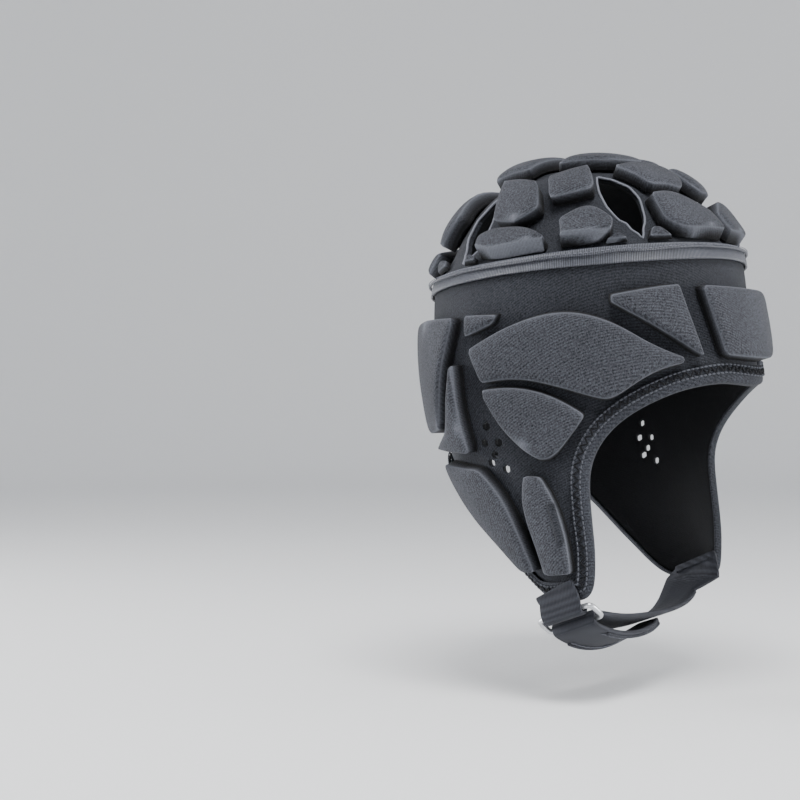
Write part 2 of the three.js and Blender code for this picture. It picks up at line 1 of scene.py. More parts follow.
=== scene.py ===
"""A padded rugby scrum cap in its worn form: knitted shells, foam pads, tape, binding and chin strap."""

import logging
import math
from dataclasses import dataclass, field
from enum import Enum
from typing import ClassVar

import bmesh
import bpy
from mathutils import Matrix, Vector, noise
from mathutils.bvhtree import BVHTree


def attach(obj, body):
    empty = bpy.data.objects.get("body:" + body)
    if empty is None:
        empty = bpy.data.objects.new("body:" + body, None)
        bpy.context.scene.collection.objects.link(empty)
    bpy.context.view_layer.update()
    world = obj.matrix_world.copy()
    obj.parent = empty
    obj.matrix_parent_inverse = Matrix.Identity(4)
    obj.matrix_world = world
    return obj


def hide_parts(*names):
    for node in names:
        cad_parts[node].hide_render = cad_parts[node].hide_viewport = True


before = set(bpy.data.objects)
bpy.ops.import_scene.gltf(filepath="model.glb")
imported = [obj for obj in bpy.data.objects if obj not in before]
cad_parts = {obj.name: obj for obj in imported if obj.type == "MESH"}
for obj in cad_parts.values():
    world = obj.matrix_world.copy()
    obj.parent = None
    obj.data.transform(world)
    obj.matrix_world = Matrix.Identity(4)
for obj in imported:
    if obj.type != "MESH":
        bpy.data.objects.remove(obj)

MM = 0.001
MERGE = 0.02 * MM
TINY = 1e-9
PAIR_TURN = math.radians(24)
PAIR_SHAPE = math.radians(60)
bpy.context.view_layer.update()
log = logging.getLogger("scrum_cap")

Colour = tuple[float, float, float]
Line = tuple[float, float]
Socket = bpy.types.NodeSocket

# Sockets of the colour Mix node: share, first, second, and the result
MIX_SHARE, MIX_FIRST, MIX_SECOND = 0, 6, 7
MIX_RESULT = 2

# Values of the knit: a Line is a gain and a base
NOISE_ROUGHNESS = 0.65
SPECKLE: Line = (3.4, -1.2)
SPECKLE_SHARE, RIB_SHARE = 0.72, 0.28
CLOUD_SCALE = 22.0
WORN: Line = (0.5, 0.75)
# The rim's lighter tone: partly lighter stretched knit, partly a painted highlight
RIM_POWER, RIM_SHARE = 4.0, 0.5
RIM_STRETCH_AND_HIGHLIGHT_TONE = (0.17, 0.18, 0.21, 1.0)
# Painted shade: near black at each pad's foot, in the grooves between the pads
FOOT_SHADE_GAIN = 1.4
FOOT_SHADE_TONE = (0.003, 0.003, 0.004, 1.0)
KNIT_ROUGHNESS: Line = (0.18, 0.68)

# Values of the tape and the webbing
HALF_WAVE: Line = (0.5, 0.5)
RUB_SCALE = 260.0
RUB_BASE = 0.35
TAPE_CONTRAST = 1.1
TAPE_ROUGHNESS: Line = (0.3, 0.25)
FIBRE_SCALE = 1500.0
WAVE_SHARE, FIBRE_SHARE = 0.35, 0.4
WEAVE_CONTRAST = 0.9
WEAVE_ROUGHNESS: Line = (0.3, 0.55)


class Slot(str, Enum):
    """Finish slots of the cap."""

    SHELL = "shell_knit"
    PAD = "pad_knit"
    TAPE = "seam_tape"
    HEM = "hem_tape"
    STRAP = "strap_webbing"
    RING = "ring_metal"


class Seam(Enum):
    """Ways in which a row of stitches runs."""

    RUNNING = "running"
    ZIGZAG = "zigzag"


class Effect:
    """A shader node group with named inputs and outputs, filled node by node."""

    def __init__(self, name: str, inputs: dict[str, str], outputs: dict[str, str]) -> None:
        """Makes the group and its sockets.

        Args:
            name: The group's name.
            inputs: Socket type by input name.
            outputs: Socket type by output name.
        """
        self.tree = bpy.data.node_groups.new(name, "ShaderNodeTree")
        for way, sockets in (("INPUT", inputs), ("OUTPUT", outputs)):
            for label, kind in sockets.items():
                self.tree.interface.new_socket(label, in_out=way, socket_type=kind)
        self.start = self.tree.nodes.new("NodeGroupInput")
        self.end = self.tree.nodes.new("NodeGroupOutput")

    def node(self, kind: str, links: dict[str | int, Socket | float | tuple],
             **settings: object) -> bpy.types.Node:
        """Adds a node.

        Args:
            kind: The node's type.
            links: What each input takes, a socket or a value.
            settings: Properties of the node.

        Returns:
            The new node.
        """
        return add_node(self.tree, kind, links, **settings)

    def math(self, operation: str, first: Socket | float, second: Socket | float = 0.0,
             clamp: bool = False) -> Socket:
        """Adds a Math node.

        Args:
            operation: The node's operation.
            first: Its first input.
            second: Its second input.
            clamp: Whether the result stays from 0 to 1.

        Returns:
            The result's socket.
        """
        links = {0: first, 1: second}
        return self.node("ShaderNodeMath", links, operation=operation, use_clamp=clamp).outputs[0]

    def ramp(self, value: Socket, line: Line, clamp: bool = False) -> Socket:
        """Multiplies a value by a gain and adds a base.

        Args:
            value: The value.
            line: The gain and the base.
            clamp: Whether the result stays from 0 to 1.

        Returns:
            The result's socket.
        """
        links = {0: value, 1: line[0], 2: line[1]}
        made = self.node("ShaderNodeMath", links, operation="MULTIPLY_ADD", use_clamp=clamp)
        return made.outputs[0]

    def place(self) -> Socket:
        """Returns the object coordinates' socket."""
        return self.node("ShaderNodeTexCoord", {}).outputs["Object"]

    def mix(self, share: Socket | float, first: Socket, second: Socket | tuple,
            blend: str = "MIX") -> Socket:
        """Mixes two colours.

        Args:
            share: How much of the second shows.
            first: The first colour.
            second: The second colour.
            blend: The way they are mixed.

        Returns:
            The mixed colour's socket.
        """
        links = {MIX_SHARE: share, MIX_FIRST: first, MIX_SECOND: second}
        made = self.node("ShaderNodeMix", links, data_type="RGBA", blend_type=blend)
        return made.outputs[MIX_RESULT]

    def grain(self, scale: Socket | float, detail: float) -> Socket:
        """Adds noise on object coordinates and returns its value."""
        links = {"Vector": self.place(), "Scale": scale, "Detail": detail, "Roughness": NOISE_ROUGHNESS}
        return self.node("ShaderNodeTexNoise", links).outputs[0]

    def put(self, values: dict[str, Socket]) -> None:
        """Links the group's outputs by name."""
        for label, socket in values.items():
            self.tree.links.new(socket, self.end.inputs[label])


def add_node(tree: bpy.types.NodeTree, kind: str, links: dict, **settings: object) -> bpy.types.Node:
    """Adds a node to a tree.

    Args:
        tree: The node tree.
        kind: The node's type.
        links: What each input takes, a socket or a value.
        settings: Properties of the node.

    Returns:
        The new node.
    """
    made = tree.nodes.new(kind)
    for label, value in settings.items():
        setattr(made, label, value)
    for label, value in links.items():
        if isinstance(value, bpy.types.NodeSocket):
            tree.links.new(value, made.inputs[label])
        else:
            made.inputs[label].default_value = value
    return made


def knit_effect() -> bpy.types.NodeTree:
    """Heathered knit: speckled yarn, faint ribs, a lighter rim that is partly stretched knit and partly a
    painted highlight, and painted shade at the foot.

    Returns:
        The node group.
    """
    inputs = {"Dark": "NodeSocketColor", "Light": "NodeSocketColor", "Grain": "NodeSocketFloat",
              "Rib": "NodeSocketFloat", "Rim": "NodeSocketFloat", "Foot": "NodeSocketFloat"}
    outputs = {"Color": "NodeSocketColor", "Roughness": "NodeSocketFloat", "Height": "NodeSocketFloat"}
    effect = Effect("heathered_knit", inputs, outputs)
    given = effect.start.outputs
    speckle = effect.ramp(effect.grain(given["Grain"], 3.0), SPECKLE, True)
    waves = {"Vector": effect.place(), "Scale": given["Rib"], "Distortion": 0.5, "Detail": 2.0,
             "Detail Scale": 3.0}
    ribs = effect.node("ShaderNodeTexWave", waves, bands_direction="DIAGONAL").outputs[1]
    speckle_part = effect.math("MULTIPLY", speckle, SPECKLE_SHARE)
    thread = effect.math("ADD", speckle_part, effect.math("MULTIPLY", ribs, RIB_SHARE))
    colour = effect.mix(thread, given["Dark"], given["Light"])
    worn = effect.ramp(effect.grain(CLOUD_SCALE, 2.0), WORN)
    shade = effect.node("ShaderNodeCombineColor", {0: worn, 1: worn, 2: worn}).outputs[0]
    colour = effect.mix(1.0, colour, shade, "MULTIPLY")
    # Lighter rim: partly lighter stretched knit, partly a painted highlight
    rim = effect.math("MULTIPLY", effect.math("POWER", given["Rim"], RIM_POWER), RIM_SHARE, True)
    colour = effect.mix(rim, colour, RIM_STRETCH_AND_HIGHLIGHT_TONE)
    # Painted shade: the pad's foot goes near black
    foot = effect.math("MULTIPLY", given["Foot"], FOOT_SHADE_GAIN, True)
    colour = effect.mix(foot, colour, FOOT_SHADE_TONE)
    effect.put({"Color": colour, "Roughness": effect.ramp(speckle, KNIT_ROUGHNESS), "Height": thread})
    return effect.tree


def rib_effect() -> bpy.types.NodeTree:
    """Ribs across a tape that runs round the upright axis.

    Returns:
        The node group.
    """
    inputs = {"Dark": "NodeSocketColor", "Light": "NodeSocketColor", "Ribs": "NodeSocketFloat"}
    outputs = {"Color": "NodeSocketColor", "Roughness": "NodeSocketFloat", "Height": "NodeSocketFloat"}
    effect = Effect("ribbed_tape", inputs, outputs)
    given = effect.start.outputs
    place = effect.node("ShaderNodeSeparateXYZ", {0: effect.place()}).outputs
    turn = effect.math("MULTIPLY", effect.math("ARCTAN2", place[1], place[0]), given["Ribs"])
    wave = effect.ramp(effect.math("SINE", turn), HALF_WAVE)
    rub = effect.grain(RUB_SCALE, 3.0)
    height = effect.math("MULTIPLY", wave, effect.math("ADD", rub, RUB_BASE))
    light = effect.math("MULTIPLY", height, TAPE_CONTRAST, True)
    colour = effect.mix(light, given["Dark"], given["Light"])
    effect.put({"Color": colour, "Roughness": effect.ramp(rub, TAPE_ROUGHNESS), "Height": height})
    return effect.tree


def weave_effect() -> bpy.types.NodeTree:
    """Close plain weave of webbing: two crossed waves and fine fibre.

    Returns:
        The node group.
    """
    inputs = {"Dark": "NodeSocketColor", "Light": "NodeSocketColor", "Weave": "NodeSocketFloat"}
    outputs = {"Color": "NodeSocketColor", "Roughness": "NodeSocketFloat", "Height": "NodeSocketFloat"}
    effect = Effect("webbing_weave", inputs, outputs)
    given = effect.start.outputs
    links = {"Vector": effect.place(), "Scale": given["Weave"], "Distortion": 0.6, "Detail": 1.0}
    waves = [effect.node("ShaderNodeTexWave", links, bands_direction=way).outputs[1]
             for way in ("X", "Y")]
    fibre = effect.grain(FIBRE_SCALE, 2.0)
    height = effect.math("MULTIPLY", effect.math("ADD", waves[0], waves[1]), WAVE_SHARE)
    height = effect.math("ADD", height, effect.math("MULTIPLY", fibre, FIBRE_SHARE))
    light = effect.math("MULTIPLY", height, WEAVE_CONTRAST, True)
    colour = effect.mix(light, given["Dark"], given["Light"])
    effect.put({"Color": colour, "Roughness": effect.ramp(fibre, WEAVE_ROUGHNESS), "Height": height})
    return effect.tree


class Library:
    """The shared effects, each built once."""

    made: dict[str, bpy.types.NodeTree] = {}
    makers = {"knit": knit_effect, "ribs": rib_effect, "weave": weave_effect}

    @classmethod
    def effect(cls, name: str) -> bpy.types.NodeTree:
        """Returns the effect of that name, and builds it first if need be."""
        if name not in cls.made:
            cls.made[name] = cls.makers[name]()
        return cls.made[name]


@dataclass(frozen=True)
class ClothFinish:
    """A cloth with its own colours in one of the shared effects."""

    name: str
    effect: str
    dark: Colour
    light: Colour
    scales: tuple[tuple[str, float], ...]
    bump: float = 0.45
    relief: float = 0.35 * MM
    sheen: float = 0.03
    sheen_roughness: float = 0.45
    gloss: float = 0.18
    edges: bool = False

    def material(self) -> bpy.types.Material:
        """Builds the cloth.

        Returns:
            The material.
        """
        cloth = bpy.data.materials.new(self.name)
        cloth.use_nodes = True
        tree = cloth.node_tree
        shader = tree.nodes["Principled BSDF"]
        group = add_node(tree, "ShaderNodeGroup", {}, node_tree=Library.effect(self.effect))
        group.inputs["Dark"].default_value = (*self.dark, 1.0)
        group.inputs["Light"].default_value = (*self.light, 1.0)
        for label, value in self.scales:
            group.inputs[label].default_value = value
        # The rim mark brings a partly painted highlight, the foot mark a painted shade
        if self.edges:
            for label in ("Rim", "Foot"):
                mark = add_node(tree, "ShaderNodeAttribute", {}, attribute_name=label.lower())
                tree.links.new(mark.outputs["Fac"], group.inputs[label])
        links = {"Strength": self.bump, "Distance": self.relief, "Height": group.outputs["Height"]}
        bump = add_node(tree, "ShaderNodeBump", links)
        tree.links.new(group.outputs["Color"], shader.inputs["Base Color"])
        tree.links.new(group.outputs["Roughness"], shader.inputs["Roughness"])
        tree.links.new(bump.outputs["Normal"], shader.inputs["Normal"])
        shader.inputs["Specular IOR Level"].default_value = self.gloss
        shader.inputs["Sheen Weight"].default_value = self.sheen
        shader.inputs["Sheen Roughness"].default_value = self.sheen_roughness
        return cloth


@dataclass(frozen=True)
class WireFinish:
    """Satin metal of the ring, faintly rubbed."""

    name: str = "ring_satin"
    colour: Colour = (0.42, 0.43, 0.45)
    bright: Colour = (0.7, 0.71, 0.73)
    rub_scale: float = 420.0
    roughness: Line = (0.22, 0.42)
    metallic: float = 0.85

    def material(self) -> bpy.types.Material:
        """Builds the metal.

        Returns:
            The material.
        """
        metal = bpy.data.materials.new(self.name)
        metal.use_nodes = True
        tree = metal.node_tree
        shader = tree.nodes["Principled BSDF"]
        place = add_node(tree, "ShaderNodeTexCoord", {}).outputs["Object"]
        grain = {"Vector": place, "Scale": self.rub_scale, "Detail": 4.0}
        rub = add_node(tree, "ShaderNodeTexNoise", grain).outputs[0]
        tones = {MIX_SHARE: rub, MIX_FIRST: (*self.colour, 1.0), MIX_SECOND: (*self.bright, 1.0)}
        tone = add_node(tree, "ShaderNodeMix", tones, data_type="RGBA")
        span = {"Value": rub, "To Min": self.roughness[0], "To Max": self.roughness[1]}
        rough = add_node(tree, "ShaderNodeMapRange", span)
        tree.links.new(tone.outputs[MIX_RESULT], shader.inputs["Base Color"])
        tree.links.new(rough.outputs[0], shader.inputs["Roughness"])
        shader.inputs["Metallic"].default_value = self.metallic
        return metal


KNIT_SCALES = (("Grain", 1300.0), ("Rib", 420.0))
THREAD_SCALES = (("Weave", 900.0),)
PAD_KNIT = ClothFinish("pad_knit", "knit", (0.004, 0.0045, 0.006), (0.08, 0.084, 0.1),
                       KNIT_SCALES, edges=True)
# The shell knit is a darker copy of the pad knit; its darkness is painted shade for the grooves between the
# pads
SHADED_SHELL_KNIT = ClothFinish("shell_knit", "knit", (0.003, 0.0035, 0.005), (0.04, 0.043, 0.053),
                         KNIT_SCALES)
LINING = ClothFinish("dark_lining", "knit", (0.002, 0.002, 0.003), (0.012, 0.013, 0.015),
                     KNIT_SCALES, sheen=0.02)
TAPE_SATIN = ClothFinish("seam_tape", "ribs", (0.008, 0.009, 0.013), (0.12, 0.127, 0.155),
                         (("Ribs", 620.0),), bump=0.7, relief=0.3 * MM, gloss=0.5)
HEM_CLOTH = ClothFinish("hem_cloth", "knit", (0.003, 0.0035, 0.005), (0.06, 0.064, 0.078),
                        KNIT_SCALES)
THREAD = ClothFinish("light_thread", "weave", (0.07, 0.074, 0.09), (0.24, 0.25, 0.29),
                     THREAD_SCALES, bump=0.2)
HEM_THREAD = ClothFinish("hem_thread", "weave", (0.02, 0.022, 0.028), (0.13, 0.137, 0.16),
                         THREAD_SCALES, bump=0.2)
DARK_THREAD = ClothFinish("dark_thread", "weave", (0.002, 0.002, 0.003), (0.012, 0.013, 0.016),
                          THREAD_SCALES, bump=0.2)
WEBBING = ClothFinish("strap_webbing", "weave", (0.003, 0.0035, 0.005), (0.055, 0.058, 0.072),
                      (("Weave", 420.0),), bump=0.6, relief=0.4 * MM)


class Palette:
    """Each finish's material, built once."""

    made: dict[str, bpy.types.Material] = {}

    @classmethod
    def of(cls, finish: ClothFinish | WireFinish) -> bpy.types.Material:
        """Returns the finish's material, and builds it first if need be."""
        if finish.name not in cls.made:
            cls.made[finish.name] = finish.material()
        return cls.made[finish.name]


def node_copy(node: str) -> bmesh.types.BMesh:
    """Copies a CAD node's mesh, with its doubles merged and its triangles paired.

    Args:
        node: The node's name.

    Returns:
        The copy.
    """
    copy = bmesh.new()
    copy.from_mesh(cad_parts[node].data)
    bmesh.ops.remove_doubles(copy, verts=copy.verts, dist=MERGE)
    bmesh.ops.join_triangles(copy, faces=copy.faces, angle_face_threshold=PAIR_TURN,
                             angle_shape_threshold=PAIR_SHAPE)
    copy.normal_update()
    copy.verts.index_update()
    copy.edges.index_update()
    return copy


def crease_sharp(mesh: bmesh.types.BMesh, limit: float, crease: float) -> None:
    """Creases the edges that turn by more than a limit.

    Args:
        mesh: The mesh.
        limit: The least turn, in radians.
        crease: The crease, from 0 to 1.
    """
    layer = mesh.edges.layers.float.get("crease_edge") or mesh.edges.layers.float.new("crease_edge")
    for edge in mesh.edges:
        if edge.calc_face_angle(0.0) > limit:
            edge[layer] = crease


def sharp_loops(mesh: bmesh.types.BMesh, limit: float) -> list[list[Vector]]:
    """Finds the closed rows of edges that turn by more than a limit.

    Args:
        mesh: The mesh.
        limit: The least turn, in radians.

    Returns:
        Each row's points in order.
    """
    return edge_loops([edge for edge in mesh.edges if edge.calc_face_angle(0.0) > limit])


def edge_loops(edges: list[bmesh.types.BMEdge]) -> list[list[Vector]]:
    """Joins edges into closed rows.

    Args:
        edges: The edges.

    Returns:
        Each closed row's points in order.
    """
    left = {edge.index: edge for edge in edges}
    loops = []
    while left:
        first = left.pop(next(iter(left)))
        chain = list(first.verts)
        while True:
            onward = next((edge for edge in chain[-1].link_edges if edge.index in left), None)
            if onward is None:
                break
            del left[onward.index]
            chain.append(onward.other_vert(chain[-1]))
        if chain[0] is chain[-1]:
            loops.append([vert.co.copy() for vert in chain[:-1]])
    return loops


def finish_piece(name: str, mesh: bmesh.types.BMesh, finishes: list, levels: int = 0,
                 nodes: tuple[str, ...] = ()) -> bpy.types.Object:
    """Args:
        name: The piece's name.
        mesh: Its mesh, which is freed.
        finishes: Its finishes, in the order of its faces' numbers.
        levels: Levels of subdivision.
        nodes: The CAD nodes that it replaces.

    Returns:
        The object.
    """
    data = bpy.data.meshes.new(name)
    mesh.to_mesh(data)
    mesh.free()
    for polygon in data.polygons:
        polygon.use_smooth = True
    for each in finishes:
        data.materials.append(Palette.of(each))
    piece = bpy.data.objects.new(name, data)
    bpy.context.scene.collection.objects.link(piece)
    if levels:
        smooth = piece.modifiers.new("rounding", "SUBSURF")
        smooth.levels = levels
        smooth.render_levels = levels
    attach(piece, "root")
    if nodes:
        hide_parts(*nodes)
    log.info("%s: %d faces before %d levels", name, len(data.polygons), levels)
    return piece


@dataclass
class Route:
    """A closed or open run of points with the cloth's normal at each."""

    points: list[Vector]
    normals: list[Vector]
    closed: bool = True
    fine_parts: ClassVar[int] = 8

    @classmethod
    def round_edge(cls, outer: list[Vector], inner: list[Vector], step: float) -> "Route":
        """Follows a shell's edge.

        Args:
            outer: Points of its outer edge, in order.
            inner: Points of its inner edge.
            step: The spacing of the route's points.

        Returns:
            The route.
        """
        normals = []
        for point in outer:
            nearest = min(inner, key=lambda other: (other - point).length)
            normals.append((point - nearest).normalized())
        return cls(outer, normals).even(step)

    def even(self, step: float) -> "Route":
        """Spaces the points evenly on a smooth curve.

        Args:
            step: The spacing.

        Returns:
            The new route.
        """
        count = len(self.points)
        spans = count if self.closed else count - 1
        fine: list[tuple[Vector, Vector]] = []
        for index in range(spans):
            ends = [self._index(index + shift) for shift in (-1, 0, 1, 2)]
            for part in range(self.fine_parts):
                share = part / self.fine_parts
                fine.append(tuple(catmull(*[row[i] for i in ends], share)
                                  for row in (self.points, self.normals)))
        fine.append(fine[0] if self.closed else (self.points[-1], self.normals[-1]))
        lengths = [0.0]
        for (before, _), (after, _) in zip(fine, fine[1:]):
            lengths.append(lengths[-1] + (after - before).length)
        stops = max(3, round(lengths[-1] / step))
        points, normals, at = [], [], 0
        for stop in range(stops if self.closed else stops + 1):
            wanted = lengths[-1] * stop / stops
            while at < len(lengths) - 2 and lengths[at + 1] < wanted:
                at += 1
            share = (wanted - lengths[at]) / max(lengths[at + 1] - lengths[at], TINY)
            points.append(fine[at][0].lerp(fine[at + 1][0], share))
            normals.append(fine[at][1].lerp(fine[at + 1][1], share).normalized())
        return Route(points, normals, self.closed)

    def _index(self, index: int) -> int:
        """Returns the index, turned round or held at the ends."""
        count = len(self.points)
        return index % count if self.closed else max(0, min(index, count - 1))

    def along(self, index: int) -> Vector:
        """Returns the direction of the route at a point."""
        way = self.points[self._index(index + 1)] - self.points[self._index(index - 1)]
        return way.normalized()

    def inward(self, index: int) -> Vector:
        """Returns the direction across the route, over the cloth."""
        return self.normals[index].cross(self.along(index)).normalized()

    def moved(self, across: float, lift: float) -> "Route":
        """Moves the route over the cloth and off it.

        Args:
            across: The way across, along inward.
            lift: The way off the cloth.

        Returns:
            The new route.
        """
        points = [point + self.inward(i) * across + self.normals[i] * lift
                  for i, point in enumerate(self.points)]
        return Route(points, list(self.normals), self.closed)

    def facing_up(self) -> "Route":
        """Turns the route round if its inward side points down on the whole."""
        total = sum(self.inward(i).z for i in range(len(self.points)))
        return self if total > 0 else Route(self.points[::-1], self.normals[::-1], self.closed)


def catmull(before: Vector, start: Vector, end: Vector, after: Vector, share: float) -> Vector:
    """A point between two others, on a smooth curve through four.

    Args:
        before: The point ahead of the span.
        start: The span's start.
        end: The span's end.
        after: The point past the span.
        share: The share of the span.

    Returns:
        The point.
    """
    square, cube = share * share, share ** 3
    return (before * (2 * square - share - cube) + start * (3 * cube - 5 * square + 2)
            + end * (4 * square - 3 * cube + share) + after * (cube - square)) / 2


@dataclass
class StitchRow:
    """A row of modelled stitches on a route."""

    style: Seam
    pitch: float = 3.0 * MM
    length: float = 2.3 * MM
    radius: float = 0.34 * MM
    swing: float = 1.6 * MM
    flatness: float = 0.8
    segments: int = 6
    rings: int = 4

    def sew(self, mesh: bmesh.types.BMesh, route: Route) -> None:
        """Adds the stitches to a mesh.

        Args:
            mesh: The mesh.
            route: Where the row runs.
        """
        even = route.even(self.pitch)
        for index, (point, normal) in enumerate(zip(even.points, even.normals)):
            way = even.along(index)
            if self.style is Seam.ZIGZAG:
                turn = even.inward(index) * (self.swing if index % 2 else -self.swing)
                way = (way * self.pitch + turn).normalized()
            side = normal.cross(way).normalized()
            turned = Matrix((way, side, normal)).transposed().to_4x4()
            sizes = Matrix.Diagonal((self.length / 2, self.radius, self.radius * self.flatness, 1.0))
            bmesh.ops.create_uvsphere(mesh, u_segments=self.segments, v_segments=self.rings, radius=1.0,
                                      matrix=Matrix.Translation(point) @ turned @ sizes)


def sweep(mesh: bmesh.types.BMesh, route: Route, radius: float, sides: int = 8) -> None:
    """Runs a round section along a route.

    Args:
        mesh: The mesh that takes it.
        route: The route.
        radius: The section's radius.
        sides: The section's sides.
    """
    rings = []
    for index, point in enumerate(route.points):
        way = route.along(index)
        side = route.normals[index].cross(way).normalized()
        turned = Matrix((side, way.cross(side), way)).transposed().to_4x4()
        made = bmesh.ops.create_circle(mesh, segments=sides, radius=radius,
                                       matrix=Matrix.Translation(point) @ turned)
        ring = made["verts"]
        rings.append(list({edge for vert in ring for edge in vert.link_edges}))
    pairs = list(zip(rings, rings[1:])) + ([(rings[-1], rings[0])] if route.closed else [])
    for before, after in pairs:
        bmesh.ops.bridge_loops(mesh, edges=before + after)


@dataclass
class Shells:
    """The knitted crown and band, lined inside, with piped vents."""

    sharp: float = math.radians(50)
    axis: Vector = field(default_factory=lambda: Vector((0.0, 0.0, -0.09)))
    piping: float = 0.6 * MM
    step: float = 2.0 * MM
    wall_lean: float = 0.6
    vent_level: float = -36 * MM
    crease: float = 0.9
    levels: int = 2
    piping_sides: int = 6

    def build(self) -> None:
        """Dresses both shells and pipes the vents."""
        for node in ("crown_shell", "band_shell"):
            mesh = node_copy(node)
            crease_sharp(mesh, self.sharp, self.crease)
            for face in mesh.faces:
                centre = face.calc_center_median()
                outwards = centre - self.axis
                if node == "band_shell":
                    outwards.z = 0.0
                face.material_index = 0 if face.normal.dot(outwards) > 0 else 1
            if node == "crown_shell":
                self.pipe_vents(mesh)
            name = node.replace("shell", "cloth")
            finish_piece(name, mesh, [SHADED_SHELL_KNIT, LINING], self.levels, (node,))

    def edges(self, node: str, least: int) -> list[list[Vector]]:
        """Returns a shell's sharp rows that have at least so many points."""
        mesh = node_copy(node)
        loops = [loop for loop in sharp_loops(mesh, self.sharp) if len(loop) >= least]
        mesh.free()
        return loops

    def pipe_vents(self, shell: bmesh.types.BMesh) -> None:
        """Lays a fine piping round each vent's outer edge.

        Args:
            shell: The crown's mesh.
        """
        rims = []
        for edge in shell.edges:
            leans = sorted(face.normal.dot((face.calc_center_median() - self.axis).normalized())
                           for face in edge.link_faces)
            if leans[0] < self.wall_lean < leans[-1] and edge.calc_face_angle(0.0) > self.sharp:
                rims.append(edge)
        mesh = bmesh.new()
        vents = [loop for loop in edge_loops(rims)
                 if max(point.z for point in loop) > self.vent_level]
        for loop in vents:
            normals = [(point - self.axis).normalized() for point in loop]
            sweep(mesh, Route(loop, normals).even(self.step), self.piping, self.piping_sides)
        log.info("vents piped: %d", len(vents))
        bmesh.ops.recalc_face_normals(mesh, faces=mesh.faces)
        finish_piece("vent_piping", mesh, [THREAD])


@dataclass
class FoamPads:
    """Foam blocks under stretched knit, each a rounded pad with a crisp rim."""

    foot_height: float = 1.5 * MM
    rim_drop: float = 0.9 * MM
    rim_crease: float = 0.6
    foot_crease: float = 1.0
    unevenness: float = 0.35 * MM
    fill: float = 0.9
    levels: int = 3
    ridge_slots: int = 6
    ridge_inset: float = 2.6 * MM
    ridge_lift: float = 2.0 * MM
    ridge_radius: float = 2.2 * MM
    ridge_step: float = 2.0 * MM
    ridge_sides: int = 10
    foot_turn: float = 0.5
    uneven_scale: float = 70.0

    def build(self) -> None:
        """Dresses every pad."""
        shells = self.shell_tree()
        for node in sorted(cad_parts):
            if not node.startswith(("crown_pad_", "band_pad_")):
                continue
            mesh = node_copy(node)
            self.mark(mesh, shells)
            if "cheek" in node:
                self.ridge(node, mesh, shells)
            name = node.replace("_pad_", "_foam_")
            pad = finish_piece(name, mesh, [PAD_KNIT], self.levels, (node,))

    def ridge(self, node: str, mesh: bmesh.types.BMesh, shells: BVHTree) -> None:
        """Lays the second, narrow ridge along a cheek pad's front edge.

        Args:
            node: The pad's node.
            mesh: The pad's marked mesh.
            shells: The shells that it stands on.
        """
        rim = mesh.verts.layers.float["rim"]
        edge = [vert.co.copy() for vert in mesh.verts if vert[rim]]
        low, high = min(co.z for co in edge), max(co.z for co in edge)
        slots: dict[int, Vector] = {}
        for co in edge:
            slot = round((co.z - low) / (high - low) * self.ridge_slots)
            if slot not in slots or co.y < slots[slot].y:
                slots[slot] = co
        middle = sum(edge, Vector()) / len(edge)
        points = [slots[slot] for slot in sorted(slots)][1:-1]
        normals = [(co - shells.find_nearest(co)[0]).normalized() for co in points]
        inset = [co + ((middle - co).project(Vector((0.0, 1.0, 0.0)))).normalized() * self.ridge_inset
                 + normal * self.ridge_lift for co, normal in zip(points, normals)]
        route = Route(inset, normals, False).even(self.ridge_step)
        cord = bmesh.new()
        sweep(cord, route, self.ridge_radius, self.ridge_sides)
        bmesh.ops.holes_fill(cord, edges=[one for one in cord.edges if one.is_boundary])
        bmesh.ops.recalc_face_normals(cord, faces=cord.faces)
        finish_piece(node.replace("_pad_", "_ridge_"), cord, [SHADED_SHELL_KNIT], 1)

    def shell_tree(self) -> BVHTree:
        """Returns a search tree of both shells."""
        both = bmesh.new()
        for node in ("crown_shell", "band_shell"):
            both.from_mesh(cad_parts[node].data)
        tree = BVHTree.FromBMesh(both)
        both.free()
        return tree

    def mark(self, mesh: bmesh.types.BMesh, shells: BVHTree) -> None:
        """Marks rim and foot, creases them, and makes the top a little uneven.

        Args:
            mesh: The pad's mesh.
            shells: The shells that it stands on.
        """
        rim = mesh.verts.layers.float.new("rim")
        foot = mesh.verts.layers.float.new("foot")
        crease = mesh.edges.layers.float.new("crease_edge")
        heights = {vert: shells.find_nearest(vert.co)[3] for vert in mesh.verts}
        top = max(heights.values())
        # Foot: where the knit paints shade. Rim: where it lightens, partly stretched knit and partly a
        # painted highlight
        for vert, height in heights.items():
            vert[foot] = 1.0 if height < self.foot_height else 0.0
            vert[rim] = 1.0 if self.foot_height <= height < top - self.rim_drop else 0.0
        for edge in mesh.edges:
            ends = edge.verts
            if all(vert[foot] for vert in ends) and edge.calc_face_angle(0.0) > self.foot_turn:
                edge[crease] = self.foot_crease
            elif all(vert[rim] for vert in ends):
                edge[crease] = self.rim_crease
        for vert in mesh.verts:
            if not vert[foot]:
                vert.co += vert.normal * noise.noise(vert.co * self.uneven_scale) * self.unevenness


